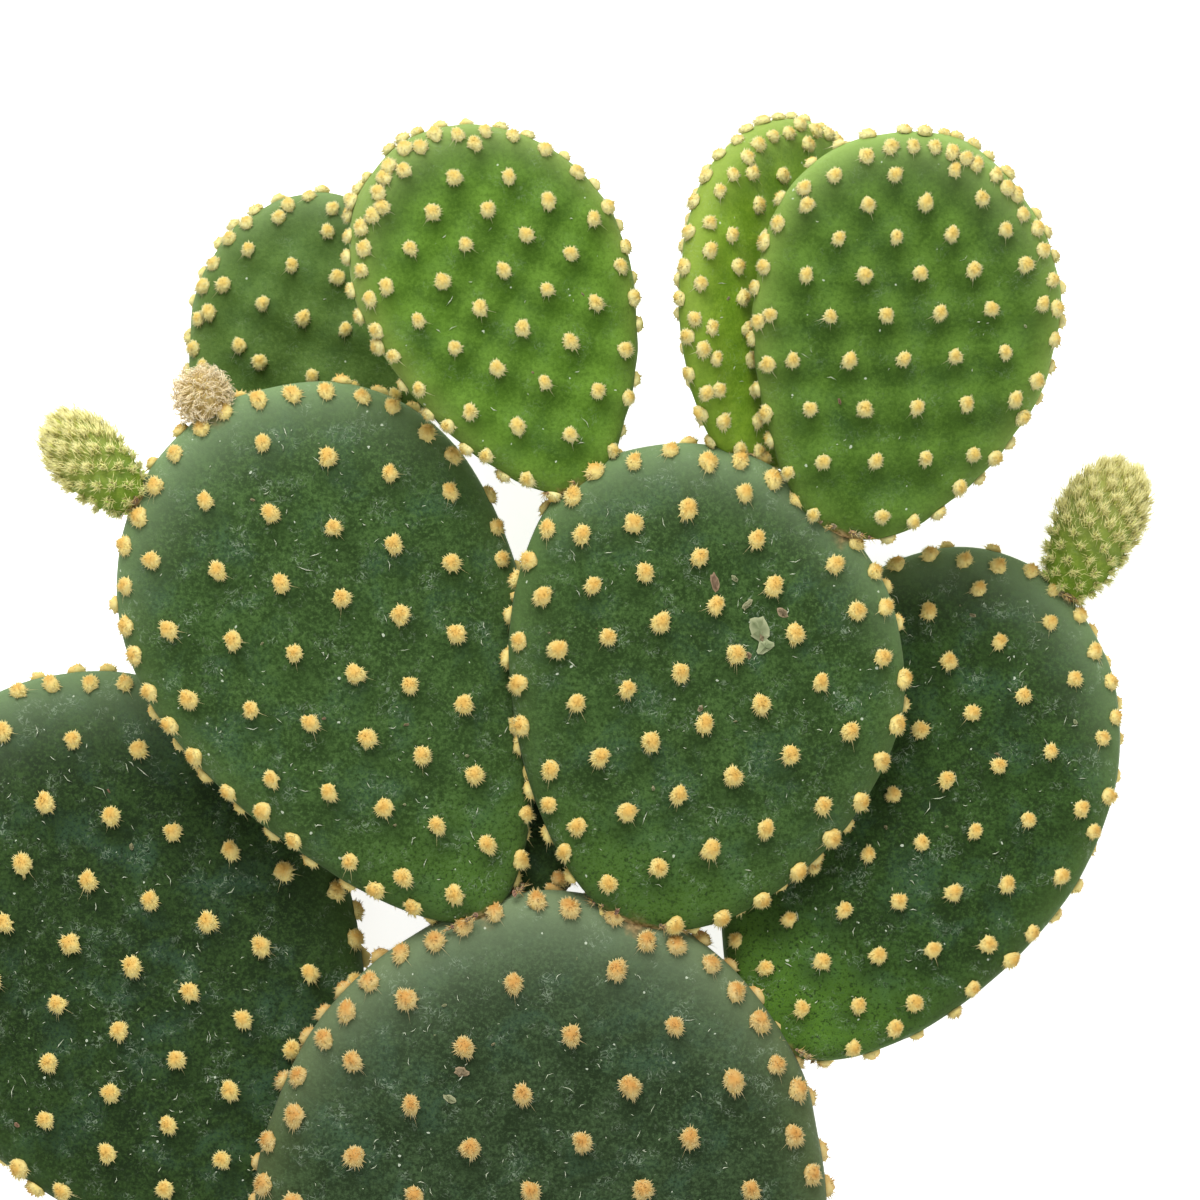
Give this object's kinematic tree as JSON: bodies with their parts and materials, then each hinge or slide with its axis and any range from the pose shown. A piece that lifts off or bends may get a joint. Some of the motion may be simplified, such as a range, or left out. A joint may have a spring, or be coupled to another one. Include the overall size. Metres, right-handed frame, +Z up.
{
  "type": "prickly pear cactus cutting",
  "caption": "Cut branch of a golden bunny-ears prickly pear: flat joined pads with glochid tufts, young pads and new buds, lying on its back.",
  "frame": {"origin": "centre of the box's bottom, on the surface that the cutting lies on", "axes": "+Z up off that surface, out of the pads' front faces; +Y from the cut end towards the youngest pads; +X to the right as seen from above"},
  "size_m": [0.233, 0.267, 0.0466],
  "materials": {
    "old_pad_skin": "matte",
    "young_pad_skin": "satin",
    "new_growth": "matte",
    "bud_wool": "matte",
    "glochids": "matte",
    "cork": "matte"
  },
  "bodies": {
    "root": {"base_pad": "old_pad_skin", "left_low_pad": "old_pad_skin", "rear_pad": "old_pad_skin", "right_pad": "old_pad_skin", "mid_left_pad": "old_pad_skin", "mid_centre_pad": "old_pad_skin", "rear_left_pad": "young_pad_skin", "top_left_pad": "young_pad_skin", "top_right_rear_pad": "young_pad_skin", "top_right_pad": "young_pad_skin", "left_bud": "new_growth", "right_bud": "new_growth", "brown_bud": "bud_wool"}
  },
  "joints": []
}
